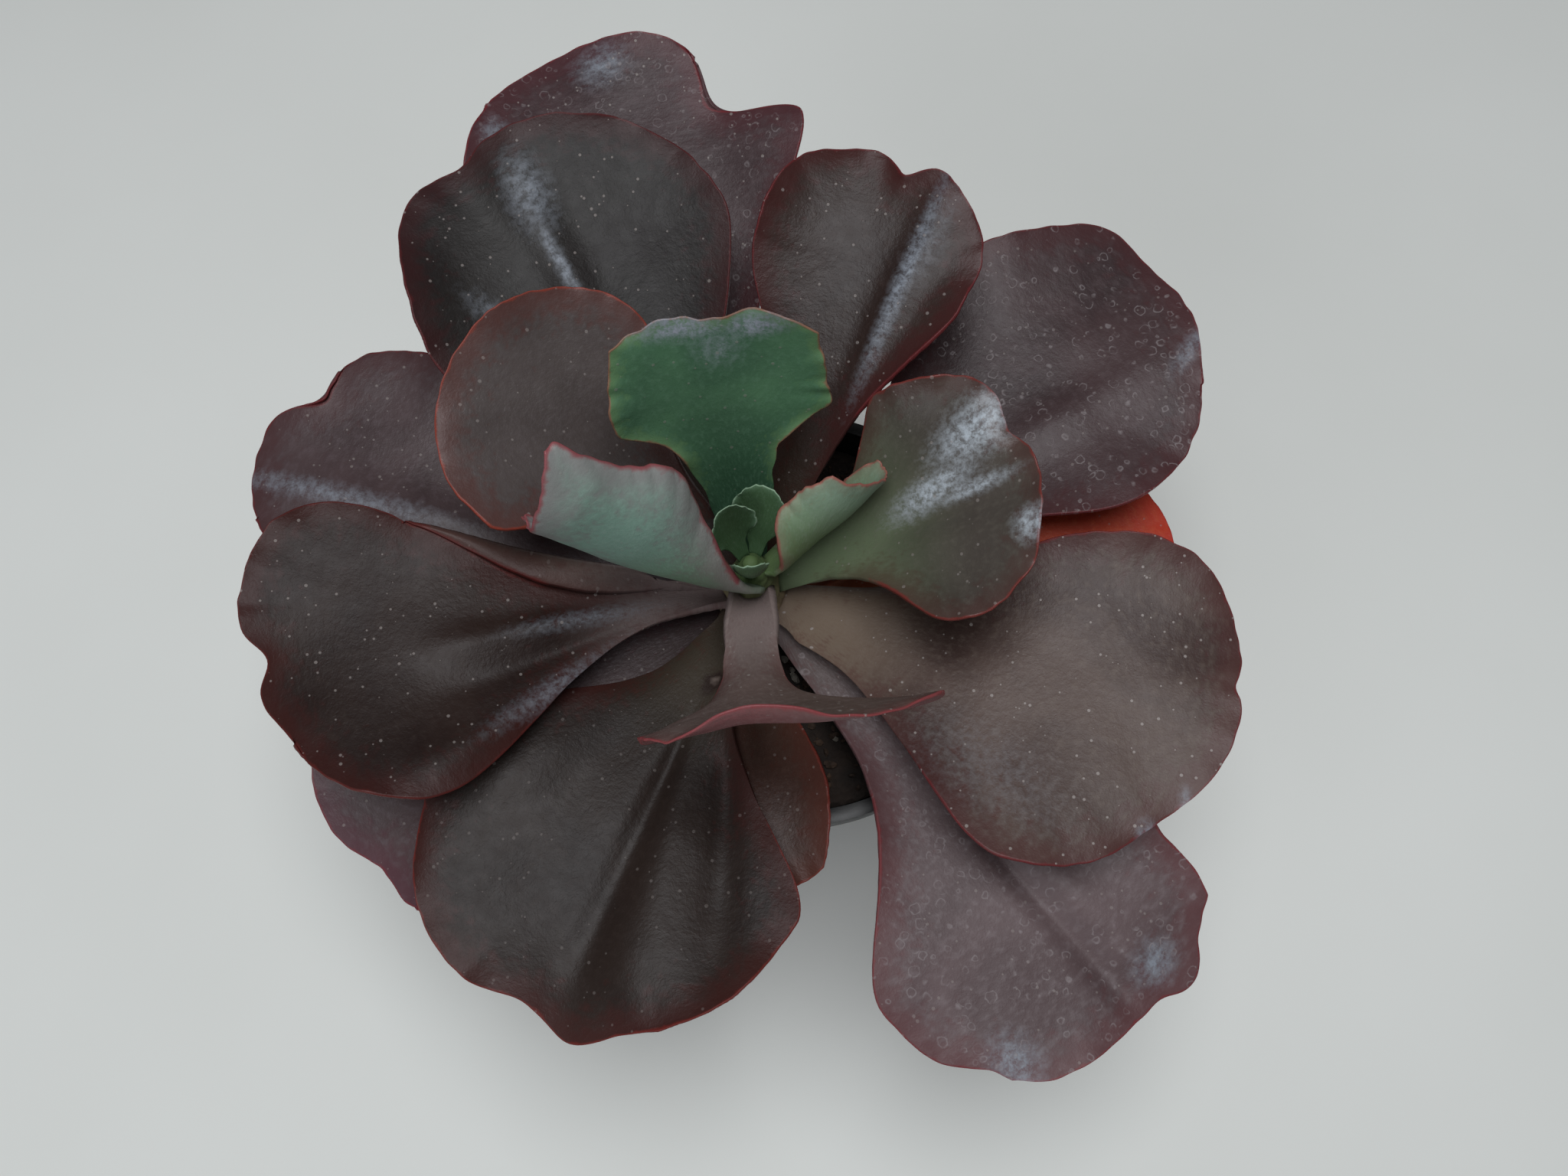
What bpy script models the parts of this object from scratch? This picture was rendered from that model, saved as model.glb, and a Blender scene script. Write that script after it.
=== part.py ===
"""Potted echeveria: a large-leaved rosette on a short stem, in a black nursery pot of soil.

Metres, +Z up. The origin is the centre of the pot's base, where the pot stands. The rosette is
modelled upright in its own frame, and an empty at the stem's foot leans it in the pot.
"""

import math
from dataclasses import dataclass

import bmesh
import bpy
from mathutils import Matrix, Vector

MM = 0.001
GAP = 0.3 * MM

# Nursery pot
POT_HEIGHT = 128 * MM
POT_RIM_RADIUS = 75 * MM
POT_BASE_RADIUS = 53 * MM
POT_WALL = 1.6 * MM
POT_FLOOR = 2.2 * MM
RIM_WIDTH = 4.6 * MM
LIP_HEIGHT = 14 * MM
LIP_DRAFT = 0.8 * MM
RIM_ROUND = 0.9 * MM
POT_STEPS = 40
SLOT_COUNT = 8
SLOT_WIDTH = 9 * MM
SLOT_DEPTH = 7 * MM
SLOT_HEIGHT = 5 * MM

# Soil
SOIL_TOP = 116 * MM
SOIL_RINGS = 5
HOLE_RISE = 10 * MM

# Stem
STEM_FOOT = Vector((-12.6 * MM, 3.7 * MM, SOIL_TOP))
STEM_LEAN = math.radians(3)
STEM_LEAN_TOWARD = math.radians(250)
STEM_RADIUS = 12.5 * MM
STEM_SHOULDER = 18 * MM
STEM_NECK_RADIUS = 5 * MM
STEM_NECK = 46 * MM
STEM_TIP_RADIUS = 2 * MM
STEM_HEIGHT = 52 * MM
STEM_BURIED = 26 * MM
STEM_FOOT_RADIUS = 9 * MM
STEM_STEPS = 24

# Leaf bases: each stops short of the stem, and curves round it as a circle this much larger
STEM_GAP = 0.9 * MM
CLASP = 1.25

# Leaf thickness: the stalk's is a share of its width, the others are shares of a thickness
STALK_THICKNESS = 0.5
STALK_EDGE_THICKNESS = 0.6
TIP_THICKNESS = 0.6
EDGE_THICKNESS = 0.35

# Leaf outlines: the widest row's share of the rows, clock angles, and shares of a length or width
SHOULDER_ROW = 0.5
SHOULDER_CLOCK = 90
STALK_CLOCK = 150
ROOT_WIDTH = 0.85
ROOT_LENGTH = 0.2
SWEEP_START = 0.3
LOBE_FADE = 3
MIDRIB_STEPS = 48


@dataclass
class Leaf:
    """One leaf in the rosette's frame, in millimetres and degrees.

    Left and right are as seen from the stem, and pairs are in that order. A clock angle goes round
    the blade from its tip at 0 through its right side at 90 to the stalk at 150, and is negative on
    the left. Rise and roll are at the stalk, the middle and the tip, and turn bends the midrib
    sideways. Cup curls each half up. A sweep pulls a side's edge outward. A lobe is a swelling or,
    if it is negative, a notch: its clock angle, its depth and its spread. A wave ripples the blade:
    its depth, its count round a full clock, its phase and how closely it hugs the edge.
    """

    name: str
    azimuth: float
    height: float
    length: float
    width: tuple
    rise: tuple
    colour: tuple
    stalk: float = 11
    thickness: float = 4
    shoulder: float = 0.55
    flare: float = 1.5
    wedge: float = 0.15
    turn: float = 0
    roll: tuple = (0, 0, 0)
    cup: tuple = (20, 20)
    sweep: tuple = (0, 0)
    square: float = 0
    lobes: tuple = ()
    waves: tuple = ()
    cells: tuple = (10, 12)


BRONZE = (0.16, 0.10, 0.06)
OLIVE = (0.13, 0.14, 0.08)
GREEN = (0.08, 0.15, 0.07)
GLAUCOUS = (0.30, 0.38, 0.30)
MAROON = (0.12, 0.06, 0.05)
ORANGE = (0.55, 0.16, 0.06)

# Leaves from the youngest, at the top of the stem, to the oldest
LEAVES = (
    Leaf(
        name="heart_leaf_1", azimuth=72, height=48, length=29, width=(10, 10), rise=(56, 66, 70),
        colour=GREEN, stalk=4, thickness=1.8, shoulder=0.6, cup=(40, 40), cells=(6, 6),
    ),
    Leaf(
        name="heart_leaf_2", azimuth=130, height=50.5, length=28, width=(9, 9), rise=(66, 76, 84),
        colour=GREEN, stalk=4, thickness=1.8, shoulder=0.6, cup=(50, 50), cells=(6, 6),
    ),
    Leaf(
        name="heart_leaf_3", azimuth=275, height=50.5, length=19, width=(6, 6), rise=(70, 80, 90),
        colour=GREEN, stalk=4, thickness=1.8, shoulder=0.6, cup=(50, 50), cells=(6, 6),
    ),
    Leaf(
        name="leaf_01", azimuth=22, height=45, length=50, width=(12, 24), rise=(36, 44, 42),
        colour=GLAUCOUS, stalk=7, thickness=2.8, shoulder=0.55, cup=(60, 80), roll=(25, 55, 60),
        square=0.7, lobes=((122, 5, 20),), waves=((1.2, 5, 40, 3),), cells=(8, 8),
    ),
    Leaf(
        name="leaf_02", azimuth=190, height=44.2, length=78, width=(37, 14), rise=(34, 52, 46),
        colour=GLAUCOUS, stalk=8, thickness=3, shoulder=0.55, turn=-10, cup=(85, 60),
        roll=(-35, -64, -62), sweep=(0.5, 0), square=0.7, lobes=((-125, 14, 28), (-52, 3, 12), (60, -6, 20)),
        waves=((1.5, 5, 10, 3),),
    ),
    Leaf(
        name="leaf_03", azimuth=99, height=39.5, length=92, width=(34, 31), rise=(49, 64, 70),
        colour=GREEN, stalk=9, thickness=3.2, shoulder=0.67, flare=4.5, wedge=0.35, cup=(18, 18),
        sweep=(-0.1, -0.24), square=0.55, lobes=((-2, -4, 14), (30, 3, 20)), waves=((2, 3, 0, 3),),
    ),
    Leaf(
        name="leaf_04", azimuth=270, height=37.5, length=100, width=(53, 30), rise=(34, 56, 72),
        colour=BRONZE, stalk=12, thickness=3.4, shoulder=0.74, flare=3.5, wedge=0.1, turn=4,
        cup=(8, -18), waves=((2.5, 5, 100, 3), (3, 2, 90, 2)),
    ),
    Leaf(
        name="leaf_05", azimuth=14, height=34, length=94, width=(37, 42), rise=(41, 35, 25),
        colour=OLIVE, stalk=12, shoulder=0.6, flare=2.2, cup=(25, 25), square=0.2,
        lobes=((-18, -4, 10), (100, -4, 14)), waves=((3, 4, 0, 3),),
    ),
    Leaf(
        name="leaf_06", azimuth=143, height=33, length=110, width=(45, 37), rise=(41, 35, 29),
        colour=BRONZE, shoulder=0.64, flare=2.6, cup=(20, 35), lobes=((95, -4, 14),),
        waves=((3, 3, 60, 3),),
    ),
    Leaf(
        name="leaf_07", azimuth=68, height=30, length=137, width=(40, 38), rise=(33, 23, 15),
        colour=BRONZE, shoulder=0.7, flare=2.2, cup=(20, 20), cells=(12, 14),
        lobes=((3, -7, 10), (-45, 3, 20), (-92, -3, 15), (92, -4, 20)), waves=((3, 4, 30, 3),),
    ),
    Leaf(
        name="leaf_08", azimuth=188, height=28, length=149, width=(62, 36), rise=(20, 14, 6),
        colour=BRONZE, shoulder=0.65, cup=(15, 15), cells=(12, 14),
        lobes=((110, -18, 28), (50, 7, 22), (-13, -6, 7), (-40, -3, 15)), waves=((3, 4, 0, 3),),
    ),
    Leaf(
        name="leaf_09", azimuth=343, height=25, length=147, width=(45, 66), rise=(19, 11, -1),
        colour=OLIVE, shoulder=0.61, cup=(12, 12), cells=(12, 14),
        lobes=((-52, 5, 22), (-102, -8, 22), (-6, -3, 7), (45, -3, 16), (128, 8, 22)), waves=((3, 4, 50, 3),),
    ),
    Leaf(
        name="leaf_10", azimuth=122.5, height=23, length=160, width=(52, 57), rise=(27, 22, 15),
        colour=MAROON, shoulder=0.66, cup=(20, 20), cells=(12, 14),
        lobes=((-38, 3, 18), (-14, -3, 10)), waves=((3, 4, 0, 3),),
    ),
    Leaf(
        name="leaf_11", azimuth=239, height=21, length=139, width=(71, 56), rise=(15, 9, 1),
        colour=BRONZE, shoulder=0.55, flare=1.8, cup=(15, 15), cells=(12, 14),
        lobes=((-85, -3, 14), (-24, 4, 8), (-8, -3, 8), (60, -3, 14)), waves=((3, 5, 0, 3),),
    ),
    Leaf(
        name="leaf_12", azimuth=35, height=19, length=165, width=(53, 53), rise=(14, 9, 2),
        colour=BRONZE, shoulder=0.66, cup=(10, 10), cells=(12, 14),
        lobes=((-32, 7, 16), (35, -3, 20)), waves=((3, 4, 0, 3),),
    ),
    Leaf(
        name="leaf_13", azimuth=312, height=17, length=167, width=(47, 61), rise=(12, 3, -8),
        colour=BRONZE, shoulder=0.68, flare=2.6, cup=(8, 8), square=0.3, cells=(12, 14),
        lobes=((-18, 7, 10), (-68, -6, 14), (50, -5, 12)), waves=((3, 4, 0, 3),),
    ),
    Leaf(
        name="leaf_14", azimuth=161, height=16, length=165, width=(49, 41), rise=(14, 7, 0),
        colour=MAROON, shoulder=0.7, cup=(15, 15), cells=(12, 14), lobes=((26, -13, 18),),
        waves=((3, 4, 0, 3),),
    ),
    Leaf(
        name="leaf_15", azimuth=107.5, height=14, length=194, width=(55, 60), rise=(16, 14, 10),
        colour=MAROON, shoulder=0.74, cup=(15, 15), lobes=((62, -20, 20), (88, 10, 8)),
        waves=((3, 4, 0, 3),),
    ),
    Leaf(
        name="leaf_16", azimuth=211.5, height=12, length=143, width=(51, 47), rise=(14, 7, 0),
        colour=MAROON, shoulder=0.68, cup=(15, 15), lobes=((-22, -5, 14),),
        waves=((3, 4, 0, 3),),
    ),
    Leaf(
        name="leaf_17", azimuth=274, height=12, length=88, width=(20, 20), rise=(22, 11, -2),
        colour=MAROON, stalk=9, shoulder=0.68, cup=(20, 20), square=0.3, cells=(8, 10),
        waves=((1.5, 3, 0, 3),),
    ),
    Leaf(
        name="leaf_18", azimuth=8, height=8, length=132, width=(36, 36), rise=(10, 5, 0),
        colour=ORANGE, stalk=10, shoulder=0.68, cup=(15, 15), cells=(8, 10),
        waves=((2, 3, 0, 3),),
    ),
)


def smoothstep(share):
    """Ease from 0 to 1."""
    share = max(0.0, min(1.0, share))
    return share * share * (3 - 2 * share)


def mix(start, end, share):
    """Straight blend of two numbers."""
    return start + (end - start) * share


def bell(distance, spread):
    """A smooth bump, 1 at its middle."""
    return math.exp(-((distance / spread) ** 2))


def profile_value(stations, share):
    """A quadratic through three values, at the stalk, the middle and the tip."""
    first, middle, last = stations
    bend = first - 2 * middle + last
    return first + (4 * middle - 3 * first - last) * share + 2 * bend * share * share


def stem_radius(height):
    """The stem's radius at a height above the soil: it narrows towards the youngest leaves."""
    if height > STEM_NECK:
        share = min(1.0, (height - STEM_NECK) / (STEM_HEIGHT - STEM_NECK))
        return mix(STEM_NECK_RADIUS, STEM_TIP_RADIUS, share)
    share = (height - STEM_SHOULDER) / (STEM_NECK - STEM_SHOULDER)
    return mix(STEM_RADIUS, STEM_NECK_RADIUS, max(0.0, share))


def midrib(leaf):
    """The midrib's places, in millimetres, at equal steps from the stem to the tip."""
    heading = math.radians(leaf.azimuth)
    lowest = leaf.height - leaf.stalk / 2 * abs(math.sin(math.radians(leaf.roll[0])))
    start = (stem_radius(lowest * MM) + STEM_GAP) / MM
    place = Vector((start * math.cos(heading), start * math.sin(heading), leaf.height))
    places = [place]
    step = leaf.length / MIDRIB_STEPS
    for index in range(MIDRIB_STEPS):
        along = blade_frame(leaf, (index + 0.5) / MIDRIB_STEPS)[1]
        place = place + along * step
        places.append(place)
    return places


def blade_frame(leaf, share):
    """Unit vectors at a share of the midrib: to the right, outward, and out of the upper face."""
    heading = math.radians(leaf.azimuth + leaf.turn * share)
    climb = math.radians(profile_value(leaf.rise, share))
    roll = math.radians(profile_value(leaf.roll, share))
    outward = Vector((
        math.cos(climb) * math.cos(heading),
        math.cos(climb) * math.sin(heading),
        math.sin(climb),
    ))
    level = Vector((math.sin(heading), -math.cos(heading), 0))
    upright = level.cross(outward)
    right = level * math.cos(roll) + upright * math.sin(roll)
    return right, outward, right.cross(outward)


def blade_plan(leaf, across, along):
    """A point of the flat blade: right, outward, its clock angle and how near the edge it is.

    Across runs from -1 on the left edge to 1 on the right, along from 0 at the stem to 1 at the tip.
    The stalk flares into the blade up to its widest row, and the rest is a half ellipse.
    """
    widest = leaf.shoulder * leaf.length
    side = 0 if across < 0 else 1
    half_width = leaf.width[side]
    half_stalk = leaf.stalk / 2
    if along < SHOULDER_ROW:
        share = along / SHOULDER_ROW
        flare = smoothstep(share ** leaf.flare)
        spread = mix(flare, math.sin(share * math.pi / 2), leaf.wedge)
        root = mix(ROOT_WIDTH, 1, smoothstep(share / ROOT_LENGTH))
        right = across * mix(half_stalk * root, half_width, spread)
        outward = share * widest
        clock = math.copysign(mix(STALK_CLOCK, SHOULDER_CLOCK, share), across)
        edge = abs(across)
    else:
        share = (along - SHOULDER_ROW) / (1 - SHOULDER_ROW)
        roundness = 1 - leaf.square
        right = across * half_width * (1 - roundness * (1 - math.sqrt(1 - share * share / 2)))
        beyond = share * (1 - roundness * (1 - math.sqrt(1 - across * across / 2)))
        outward = widest + beyond * (leaf.length - widest)
        clock = math.degrees(math.atan2(right / half_width, beyond))
        edge = max(abs(across), share)
    swelling = sum(depth * bell(clock - at, spread) for at, depth, spread in leaf.lobes)
    growth = swelling * edge ** LOBE_FADE
    if along > SHOULDER_ROW:
        right *= 1 + growth / half_width
        outward = widest + (outward - widest) * (1 + growth / (leaf.length - widest))
    else:
        right += across * growth
    outward += leaf.sweep[side] * abs(right) * smoothstep(outward / leaf.length / SWEEP_START)
    return right, outward, clock, edge


def blade_point(leaf, places, across, along):
    """A point of the upper face in the rosette's frame, in millimetres."""
    right, outward, clock, edge = blade_plan(leaf, across, along)
    hug = CLASP * stem_radius(leaf.height * MM) / MM
    clasp = hug - math.sqrt(hug * hug - min(abs(right), hug) ** 2)
    clasp *= math.cos(math.radians(leaf.roll[0]))
    reach = outward - clasp * smoothstep(1 - outward / (2 * hug))
    share = reach / leaf.length
    position = max(0.0, min(MIDRIB_STEPS - 1e-6, share * MIDRIB_STEPS))
    index = int(position)
    spine = places[index].lerp(places[index + 1], position - index)
    to_right, to_out, to_face = blade_frame(leaf, max(0.0, min(1.0, share)))
    spine = spine + to_out * (share * MIDRIB_STEPS - position) * leaf.length / MIDRIB_STEPS

    side = 0 if right < 0 else 1
    curl = math.radians(leaf.cup[side]) / leaf.width[side]
    angle = curl * right
    sideways = math.sin(angle) / curl
    lift = (1 - math.cos(angle)) / curl
    face = to_face * math.cos(angle) - to_right * math.sin(angle)
    ripple = sum(
        depth * edge ** hug * math.sin(math.radians(count * clock + phase))
        for depth, count, phase, hug in leaf.waves
    )
    return spine + to_right * sideways + to_face * lift + face * ripple


def blade_thickness(leaf, across, along):
    """Thickness in millimetres: a fleshy stalk, a thinner blade, and a thin edge all round."""
    edge = blade_plan(leaf, across, along)[3]
    blade = smoothstep(along / SHOULDER_ROW)
    stalk = STALK_THICKNESS * leaf.stalk
    tip = TIP_THICKNESS * leaf.thickness
    middle = mix(stalk, leaf.thickness, blade)
    middle = mix(middle, tip, smoothstep((along - SHOULDER_ROW) / (1 - SHOULDER_ROW)))
    rim = mix(STALK_EDGE_THICKNESS * stalk, EDGE_THICKNESS * leaf.thickness, blade)
    return mix(middle, rim, edge ** 2)


def principled(name, colour, roughness):
    """A plain material of one colour."""
    material = bpy.data.materials.new(name)
    material.use_nodes = True
    shader = material.node_tree.nodes["Principled BSDF"]
    shader.inputs["Base Color"].default_value = (*colour, 1)
    shader.inputs["Roughness"].default_value = roughness
    return material


def add_object(name, mesh, collection, material=None):
    """Put a mesh in the scene under its own name and material."""
    thing = bpy.data.objects.new(name, mesh)
    if material:
        mesh.materials.append(material)
    collection.objects.link(thing)
    return thing


def mesh_from(name, shape):
    """Turn a bmesh into a mesh."""
    mesh = bpy.data.meshes.new(name)
    shape.to_mesh(mesh)
    shape.free()
    return mesh


def turned(name, outline, steps, collection, material):
    """A turned solid from an outline of (radius, height) points."""
    shape = bmesh.new()
    corners = [shape.verts.new((radius, 0, height)) for radius, height in outline]
    for first, second in zip(corners, corners[1:]):
        shape.edges.new((first, second))
    thing = add_object(name, mesh_from(name, shape), collection, material)
    screw = thing.modifiers.new("turn", "SCREW")
    screw.axis = "Z"
    screw.steps = steps
    screw.render_steps = steps
    screw.use_merge_vertices = True
    screw.merge_threshold = 0.01 * MM
    return thing


def cut(thing, cutter, name):
    """Take a cutter's shape out of a solid."""
    cutter.hide_render = True
    cutter.display_type = "WIRE"
    boolean = thing.modifiers.new(name, "BOOLEAN")
    boolean.operation = "DIFFERENCE"
    boolean.solver = "EXACT"
    boolean.object = cutter


def wall_radius(height):
    """The pot's outer radius under its rim."""
    top = POT_RIM_RADIUS - RIM_WIDTH + POT_WALL
    return mix(POT_BASE_RADIUS, top, height / POT_HEIGHT)


def make_pot(collection, cutters):
    """The pot: a thin tapered wall, a flat rim with a lip that hangs outside it, and slots to drain."""
    inner_rim = wall_radius(POT_HEIGHT) - POT_WALL
    lip_bottom = POT_HEIGHT - LIP_HEIGHT
    lip_foot = POT_RIM_RADIUS - LIP_DRAFT
    under_rim = POT_HEIGHT - POT_WALL
    outline = (
        (0, POT_FLOOR),
        (wall_radius(POT_FLOOR) - POT_WALL, POT_FLOOR),
        (inner_rim, POT_HEIGHT - RIM_ROUND),
        (inner_rim + RIM_ROUND, POT_HEIGHT),
        (POT_RIM_RADIUS - RIM_ROUND, POT_HEIGHT),
        (POT_RIM_RADIUS, POT_HEIGHT - RIM_ROUND),
        (lip_foot, lip_bottom),
        (lip_foot - POT_WALL, lip_bottom),
        (POT_RIM_RADIUS - POT_WALL, under_rim),
        (wall_radius(under_rim), under_rim),
        (POT_BASE_RADIUS, 0),
        (0, 0),
    )
    black_plastic = principled("black_plastic", (0.012, 0.012, 0.013), 0.45)
    pot = turned("pot", outline, POT_STEPS, collection, black_plastic)

    shape = bmesh.new()
    for index in range(SLOT_COUNT):
        turn = Matrix.Rotation(index * math.tau / SLOT_COUNT, 4, "Z")
        away = Matrix.Translation((POT_BASE_RADIUS, 0, 0))
        size = Matrix.Diagonal((2 * SLOT_DEPTH, SLOT_WIDTH, 2 * SLOT_HEIGHT, 1))
        bmesh.ops.create_cube(shape, size=1, matrix=turn @ away @ size)
    cut(pot, add_object("drain_slots", mesh_from("drain_slots", shape), cutters), "drain")
    return pot


def make_soil(collection, cutters, stem_foot):
    """The soil: it fills the pot to below the rim, with a plain hole for the buried stem."""
    bottom = POT_FLOOR + GAP
    wall = POT_WALL + GAP
    outline = [(0, SOIL_TOP)]
    outline += [
        (ring / SOIL_RINGS * (wall_radius(SOIL_TOP) - wall), SOIL_TOP)
        for ring in range(1, SOIL_RINGS + 1)
    ]
    outline += [(wall_radius(bottom) - wall, bottom), (0, bottom)]
    brown_soil = principled("potting_soil", (0.035, 0.022, 0.015), 0.95)
    soil = turned("soil", outline, POT_STEPS, collection, brown_soil)

    depth = STEM_BURIED + GAP
    length = depth + HOLE_RISE
    shape = bmesh.new()
    bmesh.ops.create_cone(
        shape, cap_ends=True, segments=STEM_STEPS, depth=length,
        radius1=STEM_FOOT_RADIUS + GAP,
        radius2=STEM_FOOT_RADIUS + GAP + (STEM_RADIUS - STEM_FOOT_RADIUS) * length / depth,
        matrix=Matrix.Translation((0, 0, length / 2 - depth)),
    )
    hole = add_object("stem_hole", mesh_from("stem_hole", shape), cutters)
    hole.parent = stem_foot
    cut(soil, hole, "stem_hole")
    return soil


def make_stem(collection, stem_foot):
    """The stem: a stout column that carries the leaves, with a growing tip and a buried foot."""
    outline = (
        (0, STEM_HEIGHT),
        (STEM_TIP_RADIUS, STEM_HEIGHT),
        (STEM_NECK_RADIUS, STEM_NECK),
        (STEM_RADIUS, STEM_SHOULDER),
        (STEM_RADIUS, 0),
        (STEM_FOOT_RADIUS, -STEM_BURIED),
        (0, -STEM_BURIED),
    )
    stem = turned("stem", outline, STEM_STEPS, collection, principled("stem_bark", (0.2, 0.16, 0.1), 0.8))
    stem.parent = stem_foot
    return stem


def make_leaf(leaf, collection, stem_foot):
    """A leaf: its upper face is a bent sheet, and Solidify gives it flesh below."""
    shape = bmesh.new()
    columns, rows = leaf.cells
    bmesh.ops.create_grid(shape, x_segments=columns, y_segments=rows, size=1)
    bmesh.ops.triangulate(shape, faces=shape.faces)
    places = midrib(leaf)
    thickest = STALK_THICKNESS * leaf.stalk
    shares = []
    for vertex in shape.verts:
        across = vertex.co.x
        along = (vertex.co.y + 1) / 2
        shares.append(blade_thickness(leaf, across, along) / thickest)
        vertex.co = blade_point(leaf, places, across, along) * MM
    mesh = mesh_from(leaf.name, shape)
    blade = add_object(leaf.name, mesh, collection, principled(leaf.name, leaf.colour, 0.4))
    group = blade.vertex_groups.new(name="flesh")
    for index, share in enumerate(shares):
        group.add([index], share, "REPLACE")
    solidify = blade.modifiers.new("flesh", "SOLIDIFY")
    solidify.thickness = thickest * MM
    solidify.offset = -1
    solidify.vertex_group = group.name
    mesh.shade_smooth()
    blade.parent = stem_foot
    return blade


def clear_scene():
    """Take out what the scene holds."""
    for thing in list(bpy.data.objects):
        bpy.data.objects.remove(thing, do_unlink=True)


def build():
    """Make every sub-part."""
    clear_scene()
    collection = bpy.data.collections.new("potted_echeveria")
    cutters = bpy.data.collections.new("cutters")
    bpy.context.scene.collection.children.link(collection)
    bpy.context.scene.collection.children.link(cutters)

    stem_foot = bpy.data.objects.new("stem_foot", None)
    stem_foot.location = STEM_FOOT
    lean_axis = Vector((-math.sin(STEM_LEAN_TOWARD), math.cos(STEM_LEAN_TOWARD), 0))
    stem_foot.rotation_euler = Matrix.Rotation(STEM_LEAN, 3, lean_axis).to_euler()
    collection.objects.link(stem_foot)

    make_pot(collection, cutters)
    make_soil(collection, cutters, stem_foot)
    make_stem(collection, stem_foot)
    for leaf in LEAVES:
        make_leaf(leaf, collection, stem_foot)


build()
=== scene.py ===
"""Dresses a potted echeveria: its pot, soil, stem and leaves, each made in place of its plain solid.

Metres, +Z up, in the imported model's frame. The plant is grown upright in its own frame, in
millimetres, and is then leaned and set in the soil, as the solids are.
"""

import math
import random
from dataclasses import dataclass, replace

import bmesh
import bpy
from mathutils import Matrix, Vector, noise
from mathutils.kdtree import KDTree


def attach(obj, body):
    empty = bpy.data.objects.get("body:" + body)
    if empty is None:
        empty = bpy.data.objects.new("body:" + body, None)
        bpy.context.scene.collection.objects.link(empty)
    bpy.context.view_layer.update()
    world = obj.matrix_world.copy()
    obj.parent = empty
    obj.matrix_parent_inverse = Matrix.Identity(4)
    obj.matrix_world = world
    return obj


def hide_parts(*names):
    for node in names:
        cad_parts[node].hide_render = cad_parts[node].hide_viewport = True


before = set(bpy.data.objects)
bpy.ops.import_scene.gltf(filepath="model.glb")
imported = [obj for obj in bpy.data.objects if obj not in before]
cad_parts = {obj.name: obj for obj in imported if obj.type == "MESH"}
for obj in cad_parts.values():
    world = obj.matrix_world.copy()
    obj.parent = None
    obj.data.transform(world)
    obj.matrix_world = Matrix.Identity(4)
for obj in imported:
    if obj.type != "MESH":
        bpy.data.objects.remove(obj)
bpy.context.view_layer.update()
MM = 0.001


# Studio. The camera stands where the photograph was taken from, above the front of the plant. The
# floor is plain, pale and matt, and the light is cool and broad, as from an overcast sky.
CAMERA_PLACE = Vector((-2.9, -133.0, 512.6)) * MM
CAMERA_TILT = math.radians(20)
FOCAL_SHARE = 1538 / 2048
OVERCAST_STRENGTH = 0.22
LIGHT_TARGET = Vector((0, 0, 0.15))
FLOOR_REACH = 3

bpy.context.scene.view_settings.view_transform = "Standard"
camera = bpy.data.objects.new("camera", bpy.data.cameras.new("camera"))
camera.data.lens = FOCAL_SHARE * camera.data.sensor_width
camera.data.clip_start = 10 * MM
camera.location = CAMERA_PLACE
camera.rotation_euler = (CAMERA_TILT, 0, 0)
bpy.context.collection.objects.link(camera)
bpy.context.scene.camera = camera


def linear(code):
    """A hex sRGB colour as linear red, green, blue and alpha."""
    channels = [int(code[place:place + 2], 16) / 255 for place in (1, 3, 5)]
    return (*(c / 12.92 if c <= 0.04045 else ((c + 0.055) / 1.055) ** 2.4 for c in channels), 1)


def add(material, kind, settings=None, links=None):
    """Add a node: settings are its own or its sockets' values, and links feed its sockets."""
    node = material.node_tree.nodes.new(kind)
    for key, value in (settings or {}).items():
        if isinstance(key, str) and hasattr(node, key):
            setattr(node, key, value)
        else:
            node.inputs[key].default_value = value
    for key, source in (links or {}).items():
        material.node_tree.links.new(source, node.inputs[key])
    return node


def new_material(name, **sockets):
    """A material with a Principled shader, whose plain sockets are set by name."""
    material = bpy.data.materials.new(name)
    material.use_nodes = True
    shader = material.node_tree.nodes["Principled BSDF"]
    for key, value in sockets.items():
        shader.inputs[key.replace("_", " ")].default_value = value
    return material, shader


def add_piece(name, shape, *materials):
    """Put a finished bmesh in the scene under its own name."""
    mesh = bpy.data.meshes.new(name)
    shape.to_mesh(mesh)
    shape.free()
    for material in materials:
        mesh.materials.append(material)
    piece = bpy.data.objects.new(name, mesh)
    bpy.context.collection.objects.link(piece)
    return piece


world = bpy.data.worlds.new("overcast")
world.use_nodes = True
world.node_tree.nodes["Background"].inputs["Color"].default_value = linear("#e4e6ea")
world.node_tree.nodes["Background"].inputs["Strength"].default_value = OVERCAST_STRENGTH
bpy.context.scene.world = world

for name, place, size, power, tone in (
    ("skylight", (0.0, 0.0, 1.5), 0.9, 13.5, "#fafcff"),
    ("front_window", (-0.9, -1.3, 1.1), 1.2, 8, "#f6f9ff"),
):
    light = bpy.data.objects.new(name, bpy.data.lights.new(name, "AREA"))
    light.data.shape = "DISK"
    light.data.size = size
    light.data.energy = power
    light.data.color = linear(tone)[:3]
    light.location = place
    light.rotation_euler = (LIGHT_TARGET - light.location).to_track_quat("-Z", "Y").to_euler()
    bpy.context.collection.objects.link(light)

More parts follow.
